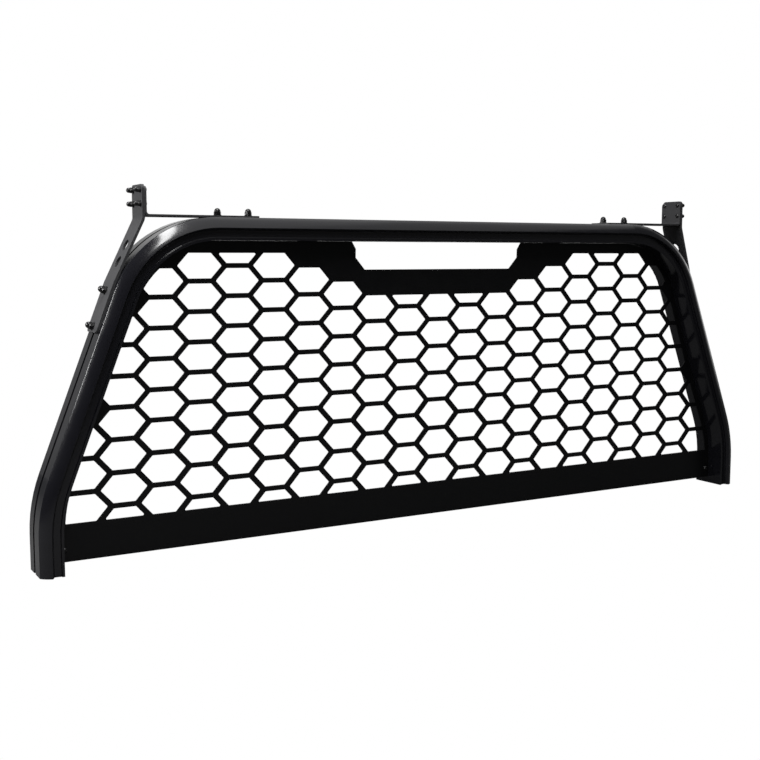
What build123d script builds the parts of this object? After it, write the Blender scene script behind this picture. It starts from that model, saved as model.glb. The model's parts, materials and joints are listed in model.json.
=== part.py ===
from build123d import *
import math
import os

# Headache rack for a pickup truck: a bent extrusion, a punched and creased mesh panel inside it,
# and a braced accessory bracket on each shoulder.
# Millimetres. +Z is up, -Y is the face seen from the truck bed, and +X is the right leg.
# The origin is on the floor, midway between the feet and midway through the frame's depth.

# ---- frame line: the outer face of the extrusion, seen from the front ----
FRAME_HEIGHT = 637.5        # top face of the top rail
FOOT_HALF_WIDTH = 850.0     # outer face of a foot, from the centre
FOOT_BEND_HEIGHT = 122.5    # sharp corner between the upright foot and the leaning leg
FOOT_BEND_RADIUS = 305.0
SHOULDER_RADIUS = 212.0
LEG_LEAN = 21.1             # degrees from upright

# ---- extrusion cross-section: inset is measured in from the outer face, depth from the front ridge ----
EXTRUSION_WIDTH = 42.5
EXTRUSION_DEPTH = 88.0
WALL = 3.0
NOSE_DEPTH = 14.0           # where the curved nose meets the flat outer face
NOSE_SAGITTA = 2.0
NOSE_END_RADIUS = 2.0
RIDGE_INSET = 20.2
RIDGE_RADIUS = 0.8          # also rounds the two corners of the recess floor
RECESS_OUTER = (25.0, 10.5)
RECESS_INNER = (37.0, 9.5)
LIP_INSET = 38.0
LIP_DEPTH = 6.0
REAR_CORNER = 3.0
CHAMBER_CORNER = 1.5
CHANNEL_DEPTH_LINE = 52.0   # centre of the T-slot channel, from the front ridge
CHANNEL_MOUTH = 10.0
CHANNEL_LIP = 3.0
CHANNEL_WIDTH = 20.0
CHANNEL_HEIGHT = 8.0
CHANNEL_Y = CHANNEL_DEPTH_LINE - EXTRUSION_DEPTH / 2

# ---- mesh panel ----
PANEL_THICKNESS = 3.0
PANEL_GAP = 0.4             # between the panel's edge and the frame
PANEL_BOTTOM = 15.0
PANEL_RIM = 12.5            # solid border beside the legs
CREASE_Z = 261.8
CREASE_Y = 6.4              # front face at the crease
UPPER_LEAN = 1.7            # degrees, both halves come forward away from the crease
LOWER_LEAN = 0.9
LOWER_BAND_TOP = 84.0

# ---- hexagonal cells: row 0 lies on the crease and rows count upwards ----
COLUMN_PITCH = 76.0
UPPER_ROW_STEP = 28.6
LOWER_ROW_STEP = 30.7
BAR = 9.6
CELL_HALF_WIDTH = 44.4
CELL_SIDE_RUN = 0.9         # sideways run of a slanted side per unit of height
CELL_CORNER = 2.2
SMALLEST_CELL = 400.0       # smaller leftovers beside the legs stay solid
OPEN_ENDED_CELL = (10, -5)  # column and row of the lowest cell, which runs straight out to the rim
TOP_ROW_BY_COLUMN = (7, 8, 7, 8, 9, 10, 11, 10, 9, 8, 7)
BOTTOM_ROW = -6
BADGE_BAND_ROW = 7          # the band under the window ends at the top of this row
TOP_BAND_ROW = 10
BADGE_BAND_COLUMNS = 2

# ---- light window, open at the top against the rail ----
WINDOW_HALF_WIDTHS = (180.0, 201.0, 201.0, 209.5)
WINDOW_HEIGHTS = (538.5, 562.5, 580.0, 594.0)

# ---- shoulder brackets and straps, right-hand side before it is slid along the rail ----
BRACKET_SHIFT = 11.5        # both brackets stand this far towards +X in their channels
PLATE_WIDTH = 60.0
PLATE_CORNER = 8.0
BRACKET_THICKNESS = 3.5
BRACKET_INNER_END = 427.5
BRACKET_BEND = 5.0
FLANGE_TOP = FRAME_HEIGHT + 53.5
STRAP_THICKNESS = 5.0
STRAP_INNER_X = 653.0       # where the bracket's flange and the strap meet
STRAP_TOP = FRAME_HEIGHT + 57.0
STRAP_BEND_HEIGHT = 632.0
STRAP_LANDING = 517.0       # height where the strap reaches the leg
STRAP_BOTTOM = 428.0
STRAP_BEND = 15.0
STRAP_HOLE_RADIUS = 11.0
STRAP_HOLE_HEIGHTS = (583.5, 553.5)
RAIL_BOLT_X = (440.5, 503.0)
LEG_BOLT_HEIGHTS = (502.0, 438.0)
FLANGE_BOLT_SPACING = 42.0
FLANGE_BOLT_HEIGHTS = (FRAME_HEIGHT + 22.5, FRAME_HEIGHT + 47.5)

# ---- fasteners ----
CLEARANCE = 0.05            # between a shank and its nut or its press-fitted hole
M6 = dict(shank=3.0, hole=3.3, flats=10.0, hex_height=5.0, cap_height=12.0, washer=6.0, washer_t=1.2)
M8 = dict(shank=4.0, hole=4.5, flats=13.0, hex_height=6.5, cap_height=13.0, washer=8.0, washer_t=1.6)
CAP_WALL = 3.0              # solid end of a cap nut
THREAD_END_GAP = 1.0        # between a shank's end and the bottom of a cap nut's thread
T_HEAD = (18.0, 8.0, 5.0)   # across the channel, along it, and its height
T_HEAD_CORNER = 1.0
T_HEAD_PLAY = 0.4           # the outer rail bolt stands where the channel starts to bend down
BUTTON_HEAD_RADIUS = 5.25
BUTTON_HEAD_HEIGHT = 3.3
SOCKET_FLATS = 4.0
SOCKET_DEPTH = 1.8
FLANGE_NUT_COLLAR = (6.5, 1.4)
FLANGE_NUT_HEIGHT = 6.0
SPARE_THREAD = 8.0          # shank left beyond a panel tab
RIVET_RADIUS = 2.4
RIVET_HEAD_RADIUS = 4.8
RIVET_HEAD_HEIGHT = 1.6
RIVET_BULB = (3.6, 5.0)
RIVET_EDGE = 1.0            # between a rivet's head and its tab's edge
DRILL_LENGTH = 30.0         # long enough for every through hole

# ---- panel tabs, behind the panel ----
TAB_THICKNESS = 3.0
TAB_REACH = 19.0            # rearwards along the frame
SIDE_TAB_HEIGHTS = (290.6, 490.8)
SIDE_TAB_HALF_HEIGHT = 9.5
SIDE_TAB_EAR = 17.0
STUD_INSET = 10.8
LOWER_TAB_HEIGHT = 37.0
LOWER_TAB_HALF_HEIGHT = 17.0
LOWER_TAB_EAR = 24.0
LOWER_BOLT_INSET = 10.0
TOP_CLIP_X = 304.0
TOP_CLIP_HALF_WIDTH = 18.0
TOP_CLIP_EAR = 22.0
TOP_STUD_DROP = 12.0        # from the rail's underside

# ---- foot inserts ----
INSERT_FIT = 0.3
INSERT_HEIGHT = 24.0
FOOT_THREAD_RADIUS = 4.25   # tapping drill for M10
FOOT_THREAD_SPACING = 40.0
FOOT_THREAD_Y = 4.0
INSERT_SCREW_Z = 12.0
INSERT_SCREW_LENGTH = 11.0
INSERT_SCREW_HEAD = (6.0, 3.0)

LEAN = math.radians(LEG_LEAN)


def mirrored(shape):
    """The left-hand copy of a right-hand piece."""
    return mirror(shape, about=Plane.YZ)


def save(name, shape):
    """Write one node, as a solid or as a group of solids."""
    pieces = shape.solids()
    result = pieces[0] if len(pieces) == 1 else Compound(children=list(pieces))
    result.label = name
    export_step(result, f"parts/{name}.step")


def save_pair(name, shape):
    """Write a right-hand piece and its left-hand mirror image."""
    save(f"{name}_right", shape)
    save(f"{name}_left", mirrored(shape))


def save_sides(name, build):
    """Write both sides of a shoulder piece, each slid the same way along the rail."""
    save(f"{name}_right", build(BRACKET_SHIFT))
    save(f"{name}_left", mirrored(build(-BRACKET_SHIFT)))


def drill(radius):
    """Tool for a through hole, centred on the XY plane."""
    return Cylinder(radius, DRILL_LENGTH)


# ---------------------------------------------------------------- frame

def leg_x(height, inset=0.0):
    """X of the right leg's leaning run, a given distance in from its outer face."""
    rise = height - FOOT_BEND_HEIGHT
    return FOOT_HALF_WIDTH - rise * math.tan(LEAN) - inset / math.cos(LEAN)


def frame_line(inset, foot_z):
    """The frame's bent line in the XZ plane, from the right foot over the top to the left foot."""
    foot_x = FOOT_HALF_WIDTH - inset
    bend_z = FOOT_BEND_HEIGHT - inset * math.tan(LEAN / 2)
    top_z = FRAME_HEIGHT - inset
    shoulder_x = leg_x(top_z, inset)
    right = [(foot_x, 0, foot_z), (foot_x, 0, bend_z), (shoulder_x, 0, top_z)]
    left = [(-x, y, z) for x, y, z in reversed(right)]
    foot_r = FOOT_BEND_RADIUS - inset
    shoulder_r = SHOULDER_RADIUS - inset
    return FilletPolyline(*right, *left, radius=[foot_r, shoulder_r, shoulder_r, foot_r])


def area_inside(inset, foot_z):
    """The flat area inside the frame's line, down to a straight lower edge."""
    line = frame_line(inset, foot_z)
    return make_face(Wire([*line.edges(), Line(line @ 1, line @ 0)]))


def profile_outline():
    """Outer shape of the extrusion: curved nose, stepped front recess, thin lip and three flat faces."""
    ridge = (RIDGE_INSET, 0)
    nose_end = (0, NOSE_DEPTH)
    line = Polyline(
        nose_end,
        (0, EXTRUSION_DEPTH),
        (EXTRUSION_WIDTH, EXTRUSION_DEPTH),
        (EXTRUSION_WIDTH, LIP_DEPTH),
        (LIP_INSET, LIP_DEPTH),
        RECESS_INNER,
        RECESS_OUTER,
        ridge,
    )
    nose = SagittaArc(ridge, nose_end, NOSE_SAGITTA)
    face = make_face(Wire([*line.edges(), *nose.edges()]))
    rear = [v for v in face.vertices() if v.Y > EXTRUSION_DEPTH - 1]
    face = fillet(rear, REAR_CORNER)
    front = [v for v in face.vertices() if v.Y < NOSE_DEPTH + 1]
    face = fillet([v for v in front if v.X < 1], NOSE_END_RADIUS)
    front = [v for v in face.vertices() if v.Y < RECESS_OUTER[1] + 1]
    ridge_and_floor = [v for v in front if RIDGE_INSET - 1 < v.X < (RECESS_INNER[0] + LIP_INSET) / 2]
    return fillet(ridge_and_floor, RIDGE_RADIUS)


def channel_cut():
    """T-slot channel, open at the outer face."""
    mouth = Pos(CHANNEL_LIP / 2, CHANNEL_DEPTH_LINE) * Rectangle(CHANNEL_LIP, CHANNEL_MOUTH)
    pocket_x = CHANNEL_LIP + CHANNEL_HEIGHT / 2
    pocket = Pos(pocket_x, CHANNEL_DEPTH_LINE) * Rectangle(CHANNEL_HEIGHT, CHANNEL_WIDTH)
    return mouth + pocket


def chamber_cut():
    """Hollow of the extrusion, one wall thickness inside the outer shape and round the channel."""
    channel_floor = CHANNEL_LIP + CHANNEL_HEIGHT + WALL
    half = CHANNEL_WIDTH / 2 + WALL
    inner = EXTRUSION_WIDTH - WALL
    line = Polyline(
        (WALL, NOSE_DEPTH + 3),
        (WALL, CHANNEL_DEPTH_LINE - half),
        (channel_floor, CHANNEL_DEPTH_LINE - half),
        (channel_floor, CHANNEL_DEPTH_LINE + half),
        (WALL, CHANNEL_DEPTH_LINE + half),
        (WALL, EXTRUSION_DEPTH - WALL),
        (inner, EXTRUSION_DEPTH - WALL),
        (inner, RECESS_OUTER[1] + WALL),
        (RECESS_OUTER[0] - WALL, RECESS_OUTER[1] + WALL),
        (RIDGE_INSET - WALL, 2 * WALL),
        close=True,
    )
    face = make_face(line)
    return fillet(face.vertices(), CHAMBER_CORNER)


def extrusion_section():
    """Cross-section of the frame, with inset along X and depth along Y."""
    return profile_outline() - channel_cut() - chamber_cut()


def rivet_hole_tools():
    """Holes in the frame's inner wall for the tab rivets."""
    tools = [place * drill(RIVET_RADIUS + CLEARANCE) for place in rivet_places()]
    return tools + [mirrored(tool) for tool in tools]


def insert_screw_tools():
    """Countersunk holes through the rear wall of each foot."""
    tool = insert_screw(CLEARANCE)
    return [tool, mirrored(tool)]


def frame_extrusion():
    """One extrusion bent at both feet and both shoulders."""
    foot = Plane(origin=(FOOT_HALF_WIDTH, 0, 0), x_dir=(-1, 0, 0), z_dir=(0, 0, 1))
    upright = Pos(0, EXTRUSION_DEPTH / 2) * mirror(extrusion_section(), about=Plane.XZ)
    bar = sweep(foot * upright, path=frame_line(0, 0))
    for tool in rivet_hole_tools() + insert_screw_tools():
        bar -= tool
    return bar


# ---------------------------------------------------------------- mesh panel

def panel_front_y(height):
    """Y of the panel's front face at a height."""
    lean = UPPER_LEAN if height > CREASE_Z else LOWER_LEAN
    return CREASE_Y - abs(height - CREASE_Z) * math.tan(math.radians(lean))


def panel_rear_y(height):
    """Y of the panel's rear face at a height."""
    return panel_front_y(height) + PANEL_THICKNESS


def row_height(row):
    """Height of the middle of a row of cells."""
    return CREASE_Z + row * (UPPER_ROW_STEP if row > 0 else LOWER_ROW_STEP)


def row_top(row):
    """Height of the upper edge of a row of cells."""
    return row_height(row) + (UPPER_ROW_STEP if row >= 0 else LOWER_ROW_STEP) - BAR / 2


def row_bottom(row):
    """Height of the lower edge of a row of cells."""
    return row_height(row) - (UPPER_ROW_STEP if row > 0 else LOWER_ROW_STEP) + BAR / 2


def full_cell(column, row):
    """One flat-topped hexagon, before it is cut back by the solid bands."""
    x = column * COLUMN_PITCH
    middle = row_height(row)
    top = row_top(row)
    bottom = row_bottom(row)
    top_half = CELL_HALF_WIDTH - CELL_SIDE_RUN * (top - middle)
    bottom_half = CELL_HALF_WIDTH - CELL_SIDE_RUN * (middle - bottom)
    if (column, row) == OPEN_ENDED_CELL:
        return make_face(Polyline(
            (x - CELL_HALF_WIDTH, 0, middle),
            (x - top_half, 0, top),
            (FOOT_HALF_WIDTH, 0, top),
            (FOOT_HALF_WIDTH, 0, bottom),
            (x - bottom_half, 0, bottom),
            close=True,
        ))
    return make_face(Polyline(
        (x - CELL_HALF_WIDTH, 0, middle),
        (x - top_half, 0, top),
        (x + top_half, 0, top),
        (x + CELL_HALF_WIDTH, 0, middle),
        (x + bottom_half, 0, bottom),
        (x - bottom_half, 0, bottom),
        close=True,
    ))


def open_area(column):
    """Where cells of this column may be cut: inside the rim and between the solid bands."""
    band_row = BADGE_BAND_ROW if abs(column) <= BADGE_BAND_COLUMNS else TOP_BAND_ROW
    top = row_top(band_row)
    height = top - LOWER_BAND_TOP
    slot = Pos(0, 0, (top + LOWER_BAND_TOP) / 2) * Box(2 * FOOT_HALF_WIDTH, 1, height)
    return area_inside(EXTRUSION_WIDTH + PANEL_RIM, 0) & slot


def rounded(face):
    """A flat opening with its corners rounded: shrunk with sharp corners, then grown with round ones."""
    core = offset(face, -CELL_CORNER, kind=Kind.INTERSECTION)
    return offset(core, CELL_CORNER, kind=Kind.ARC)


def right_cells():
    """Cells from the centre column outwards to the right."""
    cells = []
    for column, top_row in enumerate(TOP_ROW_BY_COLUMN):
        area = open_area(column)
        for row in range(BOTTOM_ROW, top_row + 1):
            if (column + row) % 2 == 0:
                continue
            cell = full_cell(column, row) & area
            if cell is None or cell.area < SMALLEST_CELL:
                continue
            cells.append((column, rounded(cell)))
    return cells


def all_cells():
    """Every cell of the mesh, mirrored about the centre column."""
    right = right_cells()
    left = [mirrored(cell) for column, cell in right if column > 0]
    return [cell for column, cell in right] + left


def light_window():
    """The opening for the cab's centre brake light, running out through the top edge."""
    right = list(zip(WINDOW_HALF_WIDTHS, WINDOW_HEIGHTS))
    right.append((WINDOW_HALF_WIDTHS[-1], FRAME_HEIGHT))
    outline = [(x, 0, z) for x, z in right] + [(-x, 0, z) for x, z in reversed(right)]
    return make_face(Polyline(*outline, close=True))


def creased_sheet():
    """The panel's sheet, creased along row 0, wider and taller than the panel."""
    heights = (0, CREASE_Z, FRAME_HEIGHT)
    front = [(0, panel_front_y(z), z) for z in heights]
    rear = [(0, panel_rear_y(z), z) for z in reversed(heights)]
    section = make_face(Polyline(*front, *rear, close=True))
    half = Pos(-FOOT_HALF_WIDTH, 0, 0) * section
    return extrude(half, amount=2 * FOOT_HALF_WIDTH, dir=(1, 0, 0))


def mesh_panel():
    """Punched and creased sheet that fills the frame."""
    outline = area_inside(EXTRUSION_WIDTH + PANEL_GAP, PANEL_BOTTOM)
    flat = outline - light_window() - all_cells()
    reach = EXTRUSION_DEPTH
    punched = extrude(Pos(0, -reach / 2, 0) * flat, amount=reach, dir=(0, 1, 0))
    panel = punched & creased_sheet()
    for place in lower_bolt_places() + stud_places():
        panel -= place * drill(M6["shank"] + CLEARANCE)
    return panel


# ---------------------------------------------------------------- panel tabs

def inside_frame(shape):
    """The part of a shape that lies within the frame's inner face."""
    area = area_inside(EXTRUSION_WIDTH, 0)
    start = Pos(0, -EXTRUSION_DEPTH / 2, 0) * area
    return shape & extrude(start, amount=EXTRUSION_DEPTH, dir=(0, 1, 0))


def angle_tab(low, high, inner_x, ear):
    """L-shaped tab between two heights: one leg lies on the frame, the other behind the panel."""
    rear_y = [panel_rear_y(z) for z in (low, high)]
    x = inner_x[0]
    y = rear_y[0]
    section = make_face(Polyline(
        (x, y, low),
        (x, y + TAB_REACH, low),
        (x - TAB_THICKNESS, y + TAB_REACH, low),
        (x - TAB_THICKNESS, y + TAB_THICKNESS, low),
        (x - ear, y + TAB_THICKNESS, low),
        (x - ear, y, low),
        close=True,
    ))
    run = Vector(inner_x[1] - inner_x[0], rear_y[1] - rear_y[0], high - low)
    return extrude(section, amount=run.length, dir=run)


def lower_tab():
    """Tab in the right-hand lower corner, on the upright foot."""
    low = LOWER_TAB_HEIGHT - LOWER_TAB_HALF_HEIGHT
    high = LOWER_TAB_HEIGHT + LOWER_TAB_HALF_HEIGHT
    x = FOOT_HALF_WIDTH - EXTRUSION_WIDTH
    return angle_tab(low, high, (x, x), LOWER_TAB_EAR)


def side_tab(middle):
    """Tab on the right leg, following its lean and the start of its shoulder bend."""
    low = middle - SIDE_TAB_HALF_HEIGHT
    high = middle + SIDE_TAB_HALF_HEIGHT
    inner_x = (leg_x(low, EXTRUSION_WIDTH), leg_x(high, EXTRUSION_WIDTH))
    return inside_frame(angle_tab(low, high, inner_x, SIDE_TAB_EAR))


def top_clip():
    """L-shaped clip under the top rail."""
    top = FRAME_HEIGHT - EXTRUSION_WIDTH
    low = top - TOP_CLIP_EAR
    rear = panel_rear_y(top)
    start = TOP_CLIP_X - TOP_CLIP_HALF_WIDTH
    section = make_face(Polyline(
        (start, rear, top),
        (start, rear + TAB_REACH, top),
        (start, rear + TAB_REACH, top - TAB_THICKNESS),
        (start, rear + TAB_THICKNESS, top - TAB_THICKNESS),
        (start, panel_rear_y(low) + TAB_THICKNESS, low),
        (start, panel_rear_y(low), low),
        close=True,
    ))
    return extrude(section, amount=2 * TOP_CLIP_HALF_WIDTH, dir=(1, 0, 0))


def panel_place(x, z):
    """A place on the panel's front face, with its Z axis pointing rearwards through the sheet."""
    lean = math.radians(UPPER_LEAN if z > CREASE_Z else -LOWER_LEAN)
    normal = (0, math.cos(lean), math.sin(lean))
    return Location(Plane(origin=(x, panel_front_y(z), z), x_dir=(1, 0, 0), z_dir=normal))


def lower_bolt_places():
    """Bolts through the panel's lower corners."""
    x = FOOT_HALF_WIDTH - EXTRUSION_WIDTH - LOWER_BOLT_INSET
    return [panel_place(side * x, LOWER_TAB_HEIGHT) for side in (-1, 1)]


def stud_places():
    """Flush studs behind the solid gussets beside the legs and in the band under the rail."""
    spots = [(leg_x(z, EXTRUSION_WIDTH) - STUD_INSET, z) for z in SIDE_TAB_HEIGHTS]
    spots.append((TOP_CLIP_X, FRAME_HEIGHT - EXTRUSION_WIDTH - TOP_STUD_DROP))
    return [panel_place(side * x, z) for x, z in spots for side in (-1, 1)]


def drilled_tab(tab, places, rivets):
    """A tab with its bolt and rivet holes."""
    for place in places:
        tab -= place * drill(M6["hole"])
    for place in rivets:
        tab -= place * drill(RIVET_RADIUS + CLEARANCE)
    return tab


# ---------------------------------------------------------------- rivets and panel fasteners

def rivet_places():
    """Rivets on the right half, with their Z axis pointing into the frame's inner wall."""
    places = []
    reach = TAB_REACH - RIVET_HEAD_RADIUS - RIVET_EDGE
    y = panel_rear_y(LOWER_TAB_HEIGHT) + reach
    for dz in (-LOWER_TAB_HALF_HEIGHT / 2, LOWER_TAB_HALF_HEIGHT / 2):
        origin = (FOOT_HALF_WIDTH - EXTRUSION_WIDTH, y, LOWER_TAB_HEIGHT + dz)
        places.append(Location(Plane(origin=origin, x_dir=(0, 1, 0), z_dir=(1, 0, 0))))
    outward = (math.cos(LEAN), 0, math.sin(LEAN))
    for z in SIDE_TAB_HEIGHTS:
        y = panel_rear_y(z) + reach
        origin = (leg_x(z, EXTRUSION_WIDTH), y, z)
        places.append(Location(Plane(origin=origin, x_dir=(0, 1, 0), z_dir=outward)))
    top = FRAME_HEIGHT - EXTRUSION_WIDTH
    y = panel_rear_y(top) + reach
    for dx in (-TOP_CLIP_HALF_WIDTH / 2, TOP_CLIP_HALF_WIDTH / 2):
        origin = (TOP_CLIP_X + dx, y, top)
        places.append(Location(Plane(origin=origin, x_dir=(1, 0, 0), z_dir=(0, 0, 1))))
    return places


def blind_rivet():
    """Domed rivet set through a tab and the frame's wall, with its bulb inside the hollow."""
    bulb_radius, bulb_length = RIVET_BULB
    head = Pos(0, 0, -TAB_THICKNESS) * dome(RIVET_HEAD_RADIUS, RIVET_HEAD_HEIGHT, -1)
    shank = Pos(0, 0, (WALL - TAB_THICKNESS) / 2) * Cylinder(RIVET_RADIUS, WALL + TAB_THICKNESS)
    bulb = Pos(0, 0, WALL + bulb_length / 2) * Cylinder(bulb_radius, bulb_length)
    return head + shank + bulb


def dome(radius, height, direction):
    """A flat-based dome standing on the XY plane, upwards or downwards."""
    sphere_radius = (radius ** 2 + height ** 2) / (2 * height)
    ball = Pos(0, 0, direction * (height - sphere_radius)) * Sphere(sphere_radius)
    keep = Pos(0, 0, direction * height / 2) * Box(3 * radius, 3 * radius, height)
    return ball & keep


def hexagon(flats, height):
    """A hexagonal prism with its corners turned off at both ends, standing on the XY plane."""
    prism = extrude(RegularPolygon(flats / 2, 6, major_radius=False), height)
    edge = 0.12 * flats
    corner = flats / math.sqrt(3)
    turned = Polyline(
        (0, 0, 0),
        (flats / 2 * 0.97, 0, 0),
        (corner + 0.1, 0, edge / 2),
        (corner + 0.1, 0, height - edge / 2),
        (flats / 2 * 0.97, 0, height),
        (0, 0, height),
        close=True,
    )
    return prism & revolve(make_face(turned), Axis.Z)


def acorn_nut(size):
    """Domed cap nut standing on the XY plane, with its blind thread."""
    cap_radius = 0.46 * size["flats"]
    base = hexagon(size["flats"], size["hex_height"])
    neck_height = size["cap_height"] - cap_radius - size["hex_height"]
    neck = Pos(0, 0, size["hex_height"] + neck_height / 2) * Cylinder(cap_radius, neck_height)
    cap = Pos(0, 0, size["hex_height"] + neck_height) * Sphere(cap_radius)
    floor = Pos(0, 0, -size["flats"]) * Box(4 * cap_radius, 4 * cap_radius, 2 * size["flats"])
    depth = size["cap_height"] - CAP_WALL
    thread = Pos(0, 0, depth / 2) * Cylinder(size["shank"] + CLEARANCE, depth)
    return base + neck + (cap - floor) - thread


def washer(size):
    """Flat washer standing on the XY plane."""
    ring = Circle(size["washer"]) - Circle(size["hole"])
    return extrude(ring, size["washer_t"])


def button_bolt(size, shank_length):
    """Button-head bolt: the head stands below the XY plane and the shank above it."""
    head = dome(BUTTON_HEAD_RADIUS, BUTTON_HEAD_HEIGHT, -1)
    opening = RegularPolygon(SOCKET_FLATS / 2, 6, major_radius=False)
    socket = Pos(0, 0, -BUTTON_HEAD_HEIGHT) * extrude(opening, SOCKET_DEPTH)
    shank = Pos(0, 0, shank_length / 2) * Cylinder(size["shank"], shank_length)
    return head - socket + shank


def flush_stud(length):
    """Stud pressed into the panel, flush with its front face."""
    return Pos(0, 0, length / 2) * Cylinder(M6["shank"], length)


def flange_nut():
    """Hexagon nut with its own round flange, standing on the XY plane."""
    radius, thickness = FLANGE_NUT_COLLAR
    collar = Pos(0, 0, thickness / 2) * Cylinder(radius, thickness)
    body = hexagon(M6["flats"], FLANGE_NUT_HEIGHT)
    return collar + body - drill(M6["shank"] + CLEARANCE)


# ---------------------------------------------------------------- shoulder brackets

def t_bolt(shank_length):
    """Bolt with an oblong head, which lies under the channel's lips; the shank rises from the XY plane."""
    length, width, height = T_HEAD
    head = Pos(0, 0, -height / 2) * Box(width, length, height)
    head = fillet(head.edges().filter_by(Axis.Z), T_HEAD_CORNER)
    shank = Pos(0, 0, shank_length / 2) * Cylinder(M8["shank"], shank_length)
    return head + shank


def rail_places(shift):
    """Outer face of the rail at each bracket bolt, with the Z axis pointing up."""
    return [Pos(x + shift, CHANNEL_Y, FRAME_HEIGHT) for x in RAIL_BOLT_X]


def leg_places():
    """Outer face of the right leg at each strap bolt, with the Z axis pointing outwards."""
    outward = (math.cos(LEAN), 0, math.sin(LEAN))
    origins = [(leg_x(height), CHANNEL_Y, height) for height in LEG_BOLT_HEIGHTS]
    return [Location(Plane(origin=origin, x_dir=(0, 1, 0), z_dir=outward)) for origin in origins]


def flange_places(shift):
    """Inboard face of the bracket's flange at each flange bolt, with the Z axis pointing outwards."""
    x = STRAP_INNER_X - BRACKET_THICKNESS + shift
    places = []
    for z in FLANGE_BOLT_HEIGHTS:
        for side in (-1, 1):
            origin = (x, CHANNEL_Y + side * FLANGE_BOLT_SPACING / 2, z)
            places.append(Location(Plane(origin=origin, x_dir=(0, 1, 0), z_dir=(1, 0, 0))))
    return places


def bent_plate(line_a, line_b):
    """A bent flat plate between two parallel lines in the XZ plane, centred on the channel."""
    ends = Line(line_a @ 1, line_b @ 1).edges() + Line(line_b @ 0, line_a @ 0).edges()
    section = make_face(Wire([*line_a.edges(), *line_b.edges(), *ends]))
    start = Pos(0, CHANNEL_Y - PLATE_WIDTH / 2, 0) * section
    return extrude(start, amount=PLATE_WIDTH, dir=(0, 1, 0))


def corner_edges(plate, thickness):
    """The short edges at the corners of a bent plate's ends."""
    straight = plate.edges().filter_by(GeomType.LINE)
    return [edge for edge in straight if abs(edge.length - thickness) < 1e-3]


def l_bracket(shift):
    """Right-hand bracket: a strip along the rail's channel, turned up into a flange."""
    inner_end = BRACKET_INNER_END + shift
    outer_x = STRAP_INNER_X + shift
    outer = FilletPolyline(
        (inner_end, 0, FRAME_HEIGHT),
        (outer_x, 0, FRAME_HEIGHT),
        (outer_x, 0, FLANGE_TOP),
        radius=BRACKET_BEND + BRACKET_THICKNESS,
    )
    inner_x = outer_x - BRACKET_THICKNESS
    inner_z = FRAME_HEIGHT + BRACKET_THICKNESS
    inner = FilletPolyline(
        (inner_end, 0, inner_z),
        (inner_x, 0, inner_z),
        (inner_x, 0, FLANGE_TOP),
        radius=BRACKET_BEND,
    )
    plate = bent_plate(outer, inner)
    plate = fillet(corner_edges(plate, BRACKET_THICKNESS), PLATE_CORNER)
    for place in rail_places(shift):
        plate -= place * drill(M8["hole"])
    for place in flange_places(shift):
        plate -= place * drill(M6["hole"])
    return plate


def strap_corners(shift):
    """Corners of the strap's frame side: up the flange, across to the leg and down its face."""
    x = STRAP_INNER_X + shift
    return [
        Vector(x, 0, STRAP_TOP),
        Vector(x, 0, STRAP_BEND_HEIGHT),
        Vector(leg_x(STRAP_LANDING), 0, STRAP_LANDING),
        Vector(leg_x(STRAP_BOTTOM), 0, STRAP_BOTTOM),
    ]


def strap_normals(shift):
    """Outward direction of each of the strap's three straight runs."""
    corners = strap_corners(shift)
    runs = [(end - start).normalized() for start, end in zip(corners, corners[1:])]
    return [Vector(-run.Z, 0, run.X) for run in runs]


def strap_line(shift, distance, radius):
    """One face of the strap, a given distance out from its frame side."""
    normals = strap_normals(shift)
    above = [normals[0], *normals]
    below = [*normals, normals[-1]]
    corners = []
    for corner, upper, lower in zip(strap_corners(shift), above, below):
        corners.append(corner + (upper + lower) * (distance / (1 + upper.dot(lower))))
    return FilletPolyline(*corners, radius=radius)


def strap_hole_places(shift):
    """Places on the strap's sloping middle run, with the Z axis pointing outwards."""
    upper, lower = strap_corners(shift)[1:3]
    places = []
    for height in STRAP_HOLE_HEIGHTS:
        x = upper.X + (lower.X - upper.X) * (upper.Z - height) / (upper.Z - lower.Z)
        origin = (x, CHANNEL_Y, height)
        places.append(Location(Plane(origin=origin, x_dir=(0, 1, 0), z_dir=strap_normals(shift)[1])))
    return places


def brace_strap(shift):
    """Right-hand strap: upright against the bracket's flange, then down to the leg's outer face."""
    inner = strap_line(shift, 0, STRAP_BEND + STRAP_THICKNESS)
    outer = strap_line(shift, STRAP_THICKNESS, STRAP_BEND)
    plate = bent_plate(inner, outer)
    plate = fillet(corner_edges(plate, STRAP_THICKNESS), PLATE_CORNER)
    for place in leg_places():
        plate -= place * drill(M8["hole"])
    for place in flange_places(shift):
        plate -= place * drill(M6["hole"])
    for place in strap_hole_places(shift):
        plate -= place * drill(STRAP_HOLE_RADIUS)
    return plate


def on_places(places, piece):
    """Copies of one fastener at several places, as one group."""
    return Compound(children=[place * piece for place in places])


def channel_joint(name, places_at, plate_thickness):
    """T-bolts, washers and cap nuts that clamp a plate over the channel, both sides of the rack."""
    stack = plate_thickness + M8["washer_t"]
    under_lip = CHANNEL_LIP + T_HEAD_PLAY
    shank_length = under_lip + stack + M8["cap_height"] - CAP_WALL - THREAD_END_GAP
    bolt = Pos(0, 0, -under_lip) * t_bolt(shank_length)
    ring = Pos(0, 0, plate_thickness) * washer(M8)
    nut = Pos(0, 0, stack) * acorn_nut(M8)
    save_sides(f"{name}_t_bolts", lambda shift: on_places(places_at(shift), bolt))
    save_sides(f"{name}_washers", lambda shift: on_places(places_at(shift), ring))
    save_sides(f"{name}_cap_nuts", lambda shift: on_places(places_at(shift), nut))


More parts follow.
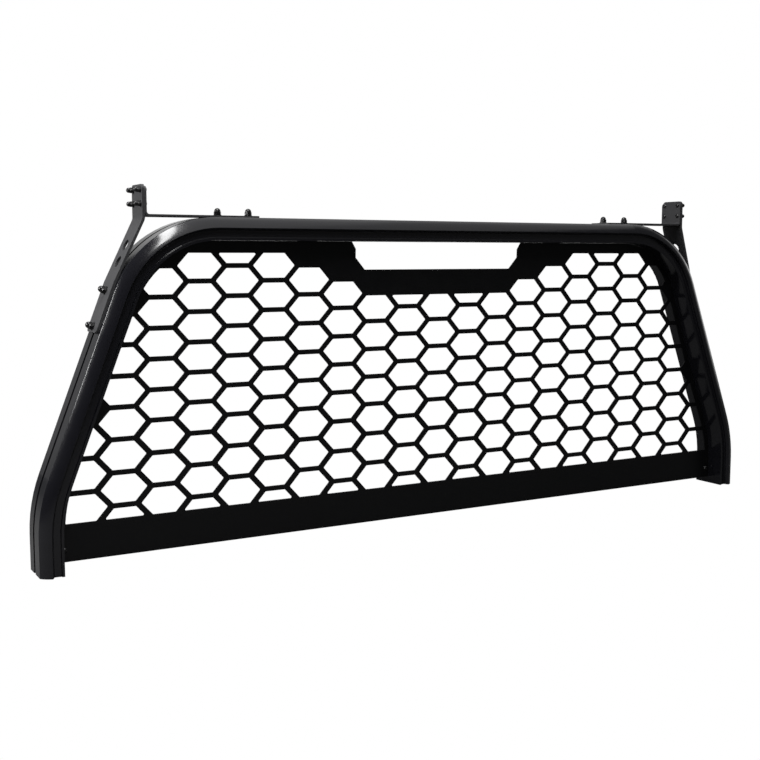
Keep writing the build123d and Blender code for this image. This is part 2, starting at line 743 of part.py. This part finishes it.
def flange_joint():
    """Four bolts, washers and cap nuts through each bracket flange and strap."""
    grip = BRACKET_THICKNESS + STRAP_THICKNESS
    stack = grip + M6["washer_t"]
    bolt = button_bolt(M6, stack + M6["cap_height"] - CAP_WALL - THREAD_END_GAP)
    ring = Pos(0, 0, grip) * washer(M6)
    nut = Pos(0, 0, stack) * acorn_nut(M6)
    save_sides("flange_bolts", lambda shift: on_places(flange_places(shift), bolt))
    save_sides("flange_washers", lambda shift: on_places(flange_places(shift), ring))
    save_sides("flange_cap_nuts", lambda shift: on_places(flange_places(shift), nut))


# ---------------------------------------------------------------- foot inserts

def foot_insert():
    """Threaded block inside the right foot, flush with its cut end."""
    section = offset(chamber_cut(), -INSERT_FIT)
    foot = Plane(origin=(FOOT_HALF_WIDTH, 0, 0), x_dir=(-1, 0, 0), z_dir=(0, 0, 1))
    upright = Pos(0, EXTRUSION_DEPTH / 2) * mirror(section, about=Plane.XZ)
    block = extrude(foot * upright, amount=INSERT_HEIGHT, dir=(0, 0, 1))
    for side in (-1, 1):
        y = FOOT_THREAD_Y + side * FOOT_THREAD_SPACING / 2
        block -= Pos(insert_centre_x(), y, INSERT_HEIGHT / 2) * drill(FOOT_THREAD_RADIUS)
    return block - insert_screw(CLEARANCE)


def insert_centre_x():
    """X of the threads in the right foot, midway between the channel's floor and the inner wall."""
    channel_floor = CHANNEL_LIP + CHANNEL_HEIGHT + WALL
    return FOOT_HALF_WIDTH - (channel_floor + EXTRUSION_WIDTH - WALL) / 2


def insert_screw(clearance):
    """Countersunk screw from the rear wall into the right insert, grown by a clearance."""
    origin = (insert_centre_x(), EXTRUSION_DEPTH / 2, INSERT_SCREW_Z)
    rear = Plane(origin=origin, x_dir=(1, 0, 0), z_dir=(0, -1, 0))
    head_radius, head_height = INSERT_SCREW_HEAD
    radius = M6["shank"] + clearance
    head = Pos(0, 0, head_height / 2) * Cone(head_radius + clearance, radius, head_height)
    shank = Pos(0, 0, INSERT_SCREW_LENGTH / 2) * Cylinder(radius, INSERT_SCREW_LENGTH)
    return Location(rear) * (head + shank)


# ---------------------------------------------------------------- build

def build_panel_fixings():
    """Tabs, rivets, bolts, studs and nuts that hold the panel in the frame."""
    bolts = lower_bolt_places()
    studs = stud_places()
    rivets = rivet_places()
    save_pair("panel_tab_lower", drilled_tab(lower_tab(), bolts, rivets))
    for name, height in zip(("middle", "upper"), SIDE_TAB_HEIGHTS):
        save_pair(f"panel_tab_{name}", drilled_tab(side_tab(height), studs, rivets))
    save_pair("panel_clip_top", drilled_tab(top_clip(), studs, rivets))
    stack = PANEL_THICKNESS + TAB_THICKNESS
    save("panel_lower_bolts", on_places(bolts, button_bolt(M6, stack + SPARE_THREAD)))
    save("panel_studs", on_places(studs, flush_stud(stack + SPARE_THREAD)))
    save("panel_flange_nuts", on_places(bolts + studs, Pos(0, 0, stack) * flange_nut()))
    right = on_places(rivets, blind_rivet())
    save("tab_rivets", Compound(children=[*right.solids(), *mirrored(right).solids()]))


def build_feet():
    """Threaded inserts and the screws that hold them."""
    save_pair("foot_insert", foot_insert())
    screw = insert_screw(0)
    save("foot_insert_screws", Compound(children=[*screw.solids(), *mirrored(screw).solids()]))


def build_shoulders():
    """Brackets, straps and their fasteners."""
    save_sides("l_bracket", l_bracket)
    save_sides("brace_strap", brace_strap)
    channel_joint("rail", rail_places, BRACKET_THICKNESS)
    channel_joint("leg", lambda shift: leg_places(), STRAP_THICKNESS)
    flange_joint()


def main():
    os.makedirs("parts", exist_ok=True)
    save("frame_extrusion", frame_extrusion())
    save("mesh_panel", mesh_panel())
    build_panel_fixings()
    build_feet()
    build_shoulders()


main()
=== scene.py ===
import json
import math

import bpy
from mathutils import Matrix, Vector


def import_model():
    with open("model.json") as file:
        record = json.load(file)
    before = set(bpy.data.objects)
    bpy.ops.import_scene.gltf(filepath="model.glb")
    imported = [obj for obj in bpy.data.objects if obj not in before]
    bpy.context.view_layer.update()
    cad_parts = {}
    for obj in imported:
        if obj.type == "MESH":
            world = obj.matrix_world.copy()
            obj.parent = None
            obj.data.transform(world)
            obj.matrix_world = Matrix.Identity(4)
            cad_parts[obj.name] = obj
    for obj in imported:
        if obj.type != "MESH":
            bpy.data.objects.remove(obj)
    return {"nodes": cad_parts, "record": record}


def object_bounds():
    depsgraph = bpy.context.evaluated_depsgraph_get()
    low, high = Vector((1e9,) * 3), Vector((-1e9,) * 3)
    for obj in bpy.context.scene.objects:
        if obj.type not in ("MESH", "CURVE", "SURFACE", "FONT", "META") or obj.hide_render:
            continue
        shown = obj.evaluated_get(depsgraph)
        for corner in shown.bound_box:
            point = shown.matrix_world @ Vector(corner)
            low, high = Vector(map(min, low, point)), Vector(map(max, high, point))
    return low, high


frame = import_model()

CAD_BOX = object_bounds()
NODES = frame["nodes"]

# ---- camera, in the row frame: metres and degrees ----
CAMERA_AT = Vector((-1.2776, -1.9922, 0.5661))
CAMERA_YAW = 29.654         # from +Y towards +X
CAMERA_PITCH = -6.344
FOCAL_LENGTH = 52.9         # mm
SENSOR_WIDTH = 36.0

# ---- studio: metres and watts ----
WHITE = (1.0, 1.0, 1.0, 1.0)
AIR_COLOUR = (0.95, 0.95, 0.95, 1.0)
FLOOR_COLOUR = (0.1, 0.1, 0.1, 1.0)     # for the light it throws; the camera sees plain white
FLOOR_ROUGHNESS = 0.9
FLOOR_REACH = 30.0
FLOOR_GAP = 0.0005          # between the floor and the feet

# name: place, the point it is aimed at, size and power
SOFTBOXES = {
    "overhead": ((0.6, -1.4, 3.0), (0.6, -1.4, 0.0), (4.4, 4.4), 34.0),
    "overhead_left": ((-0.2, -1.4, 2.98), (-0.2, -1.4, 0.0), (2.8, 4.4), 14.0),
    "strip": ((-0.95, -0.95, 2.4), (-0.95, -0.95, 0.0), (0.4, 2.2), 60.0),
    "side": ((-1.9, 0.1, 0.95), (-0.68, 0.0, 0.6), (0.5, 0.5), 24.0),
}

# ---- the backdrop: low and high of its direction, and its strength at each ----
BEHIND_RANGE = (-0.1, 0.35, 0.07, 1.0)      # along Y
SIDEWAYS_RANGE = (-0.5, 0.8, 0.13, 1.3)     # along X

# ---- coats: depths and bevel radii in metres ----
# noise: scale per metre, detail and roughness
# the first noise breaks up the paler corners, which are partly edge wear and partly a painted edge
# highlight
EDGE_WEAR_AND_HIGHLIGHT_NOISE = (90.0, 4.0)
MARK_NOISE = (14.0, 5.0, 0.6)
SMUDGE_NOISE = (22.0, 4.0, 0.6)
PEEL_NOISE = (260.0, 2.0)
TINT_NOISE = (60.0,)
GRAIN_DETAIL = (2.0, 0.7)   # detail and roughness only; each coat has its own scale
# range: low and high of the noise, and what they become
# the first range shapes the patches of paler corners: partly edge wear, partly a painted edge
# highlight
EDGE_WEAR_AND_HIGHLIGHT_RANGE = (0.35, 0.65, 0.1, 0.8)
DUST_RANGE = (0.55, 0.8, 0.0, 0.35)
SMUDGE_LIMITS = (0.3, 0.7)
DUST_GAIN = 1.35
FLAT_COSINE = 0.999         # between the rounded and the true normal, on a flat face
CORNER_COSINE = 0.93        # the same at a corner
BEVEL_SAMPLES = 4

# ---- cut aluminium ----
ALUMINIUM_DARK = (0.55, 0.55, 0.56, 1.0)
ALUMINIUM_LIGHT = (0.68, 0.68, 0.69, 1.0)
TURNING_SCALE = 900.0
TURNING_DISTORTION = 1.5
TURNING_DEPTH = 0.00002
TURNING_ROUGHNESS = (0.28, 0.42)

# the second colour of each coat is for its paler corners: partly edge wear, partly a painted edge
# highlight
COATS = {
    "frame_coat": dict(
        base=(0.007, 0.007, 0.009, 1.0), worn_and_highlit=(0.022, 0.022, 0.024, 1.0),
        roughness=0.16, spread=0.03,
        grain=2600.0, grain_depth=0.000004, peel_depth=0.000012),
    "panel_coat": dict(
        base=(0.0035, 0.0035, 0.004, 1.0), worn_and_highlit=(0.012, 0.012, 0.013, 1.0),
        roughness=0.38, spread=0.05,
        grain=1800.0, grain_depth=0.00002, peel_depth=0.00003, specular=0.25),
    "bracket_coat": dict(
        base=(0.034, 0.034, 0.036, 1.0), worn_and_highlit=(0.08, 0.08, 0.083, 1.0),
        roughness=0.5, spread=0.06,
        grain=700.0, grain_depth=0.00015, peel_depth=0.00003),
    "black_fastener": dict(
        base=(0.006, 0.006, 0.0065, 1.0), worn_and_highlit=(0.05, 0.05, 0.052, 1.0),
        roughness=0.24, spread=0.06,
        grain=2200.0, grain_depth=0.00001, peel_depth=0.00001, edge=0.0004),
}


# ---------------------------------------------------------------- node helpers

class Nodes:
    """A short way to add and join shader nodes in one material or world."""

    def __init__(self, owner):
        owner.use_nodes = True
        self.tree = owner.node_tree
        self.tree.nodes.clear()

    def add(self, kind, inputs=None, **settings):
        """One node; each input is joined to a socket or set to a plain value."""
        node = self.tree.nodes.new(kind)
        for name, value in settings.items():
            setattr(node, name, value)
        for name, value in (inputs or {}).items():
            if isinstance(value, bpy.types.NodeSocket):
                self.tree.links.new(value, node.inputs[name])
            else:
                node.inputs[name].default_value = value
        return node

    def multiply(self, first, second):
        node = self.add("ShaderNodeMath", {0: first, 1: second}, operation="MULTIPLY")
        return node.outputs[0]

    def noise(self, where, scale, detail=3.0, roughness=0.55):
        node = self.add("ShaderNodeTexNoise", {
            "Vector": where, "Scale": scale, "Detail": detail, "Roughness": roughness})
        return node.outputs["Fac"]

    def remap(self, value, low, high, to_low, to_high):
        """A smooth step from one range to another."""
        node = self.add("ShaderNodeMapRange", {
            "Value": value, "From Min": low, "From Max": high,
            "To Min": to_low, "To Max": to_high}, interpolation_type="SMOOTHSTEP")
        return node.outputs["Result"]

    def blend(self, factor, first, second):
        """A mix of two colours, which are inputs 6 and 7 of the node."""
        node = self.add("ShaderNodeMix", {"Factor": factor, 6: first, 7: second}, data_type="RGBA")
        return node.outputs[2]

    def bump(self, height, distance, normal=None):
        inputs = {"Height": height, "Distance": distance, "Strength": 1.0}
        if normal is not None:
            inputs["Normal"] = normal
        return self.add("ShaderNodeBump", inputs).outputs["Normal"]

    def finish(self, shader, output):
        """Join a shader to an output node of the material or the world."""
        self.add(output, {"Surface": shader})


def edge_mask(n, radius):
    """1 on corners and 0 on flat faces, from how far a rounded normal turns from the true one."""
    rounded = n.add("ShaderNodeBevel", {"Radius": radius}, samples=BEVEL_SAMPLES)
    true = n.add("ShaderNodeNewGeometry")
    normals = {0: rounded.outputs["Normal"], 1: true.outputs["Normal"]}
    dot = n.add("ShaderNodeVectorMath", normals, operation="DOT_PRODUCT")
    return n.remap(dot.outputs["Value"], FLAT_COSINE, CORNER_COSINE, 0.0, 1.0)


def white_when_seen(n, lit, kind):
    """Plain white where the camera sees it directly, and the lit shader for all other light."""
    seen = n.add(kind, {"Color": WHITE, "Strength": 1.0})
    ray = n.add("ShaderNodeLightPath").outputs["Is Camera Ray"]
    mix = n.add("ShaderNodeMixShader", {0: ray, 1: lit.outputs[0], 2: seen.outputs[0]})
    return mix.outputs[0]


# ---------------------------------------------------------------- materials

def powder_coat(name, base, worn_and_highlit, roughness, spread, grain, grain_depth, peel_depth,
                edge=0.0006, specular=0.5):
    """Black powder coat: fine grain over slow orange peel, paler corners that are partly edge wear
    and partly a painted edge highlight, and faint marks.
    """
    material = bpy.data.materials.new(name)
    n = Nodes(material)
    where = n.add("ShaderNodeTexCoord").outputs["Object"]
    # corners turn paler in noisy patches: partly edge wear, partly a painted edge highlight
    patches = n.remap(n.noise(where, *EDGE_WEAR_AND_HIGHLIGHT_NOISE), *EDGE_WEAR_AND_HIGHLIGHT_RANGE)
    colour = n.blend(n.multiply(edge_mask(n, edge), patches), base, worn_and_highlit)
    dust = n.remap(n.noise(where, *MARK_NOISE), *DUST_RANGE)
    colour = n.blend(dust, colour, [DUST_GAIN * c for c in base[:3]] + [1.0])
    smudge = n.noise(where, *SMUDGE_NOISE)
    peel = n.bump(n.noise(where, *PEEL_NOISE), peel_depth)
    shader = n.add("ShaderNodeBsdfPrincipled", {
        "Base Color": colour,
        "Roughness": n.remap(smudge, *SMUDGE_LIMITS, roughness - spread, roughness + spread),
        "Normal": n.bump(n.noise(where, grain, *GRAIN_DETAIL), grain_depth, normal=peel),
        "Specular IOR Level": specular,
    })
    n.finish(shader.outputs["BSDF"], "ShaderNodeOutputMaterial")
    return material


def machined_aluminium(name):
    """Plain cut aluminium with fine turning lines."""
    material = bpy.data.materials.new(name)
    n = Nodes(material)
    where = n.add("ShaderNodeTexCoord").outputs["Object"]
    wave = {"Vector": where, "Scale": TURNING_SCALE, "Distortion": TURNING_DISTORTION}
    lines = n.add("ShaderNodeTexWave", wave, bands_direction="Z").outputs["Fac"]
    shader = n.add("ShaderNodeBsdfPrincipled", {
        "Base Color": n.blend(n.noise(where, *TINT_NOISE), ALUMINIUM_DARK, ALUMINIUM_LIGHT),
        "Metallic": 1.0,
        "Roughness": n.remap(lines, 0.0, 1.0, *TURNING_ROUGHNESS),
        "Normal": n.bump(lines, TURNING_DEPTH),
    })
    n.finish(shader.outputs["BSDF"], "ShaderNodeOutputMaterial")
    return material


def dress_nodes():
    """Each CAD node gets the material of its slot in the record."""
    materials = {name: powder_coat(name, **coat) for name, coat in COATS.items()}
    materials["insert_metal"] = machined_aluminium("insert_metal")
    for part in frame["record"]["subparts"]:
        mesh = NODES[part["node"]].data
        mesh.materials.clear()
        mesh.materials.append(materials[part["material_slot"]])


# ---------------------------------------------------------------- studio

def floor():
    """A plain floor just under the feet."""
    mesh = bpy.data.meshes.new("floor")
    signs = ((-1, -1), (1, -1), (1, 1), (-1, 1))
    corners = [(x * FLOOR_REACH, y * FLOOR_REACH, 0.0) for x, y in signs]
    mesh.from_pydata(corners, [], [(0, 1, 2, 3)])
    thing = bpy.data.objects.new("floor", mesh)
    thing.location.z = CAD_BOX[0].z - FLOOR_GAP
    bpy.context.scene.collection.objects.link(thing)
    material = bpy.data.materials.new("floor")
    n = Nodes(material)
    lit = n.add("ShaderNodeBsdfPrincipled", {
        "Base Color": FLOOR_COLOUR, "Roughness": FLOOR_ROUGHNESS})
    n.finish(white_when_seen(n, lit, "ShaderNodeEmission"), "ShaderNodeOutputMaterial")
    mesh.materials.append(material)


def softbox(name, at, towards, size, power):
    """A rectangular area light aimed at a point, which the camera doesn't see."""
    light = bpy.data.lights.new(name, "AREA")
    light.shape = "RECTANGLE"
    light.size, light.size_y = size
    light.energy = power
    thing = bpy.data.objects.new(name, light)
    aim = (Vector(towards) - Vector(at)).to_track_quat("-Z", "Y")
    thing.location = at
    thing.visible_camera = False
    thing.rotation_euler = aim.to_euler()
    bpy.context.scene.collection.objects.link(thing)


def world():
    """A backdrop whose light is brighter to the right and behind the object, and dark in front."""
    sky = bpy.data.worlds.new("studio")
    bpy.context.scene.world = sky
    n = Nodes(sky)
    direction = n.add("ShaderNodeTexCoord").outputs["Generated"]
    axes = n.add("ShaderNodeSeparateXYZ", {"Vector": direction})
    behind = n.remap(axes.outputs["Y"], *BEHIND_RANGE)
    sideways = n.remap(axes.outputs["X"], *SIDEWAYS_RANGE)
    lit = n.add("ShaderNodeBackground", {
        "Color": AIR_COLOUR, "Strength": n.multiply(behind, sideways)})
    n.finish(white_when_seen(n, lit, "ShaderNodeBackground"), "ShaderNodeOutputWorld")


def camera():
    """The camera, looking along its yaw and pitch with level sides."""
    data = bpy.data.cameras.new("camera")
    data.sensor_width = SENSOR_WIDTH
    data.lens = FOCAL_LENGTH
    thing = bpy.data.objects.new("camera", data)
    yaw = math.radians(CAMERA_YAW)
    pitch = math.radians(CAMERA_PITCH)
    level = math.cos(pitch)
    ahead = Vector((math.sin(yaw) * level, math.cos(yaw) * level, math.sin(pitch)))
    right = Vector((math.cos(yaw), -math.sin(yaw), 0.0))
    up = right.cross(ahead)
    turn = Matrix((right, up, -ahead)).transposed().to_4x4()
    thing.matrix_world = Matrix.Translation(CAMERA_AT) @ turn
    bpy.context.scene.collection.objects.link(thing)
    bpy.context.scene.camera = thing


dress_nodes()
camera()
world()
floor()
for name, settings in SOFTBOXES.items():
    softbox(name, *settings)
bpy.context.scene.view_settings.view_transform = "Standard"
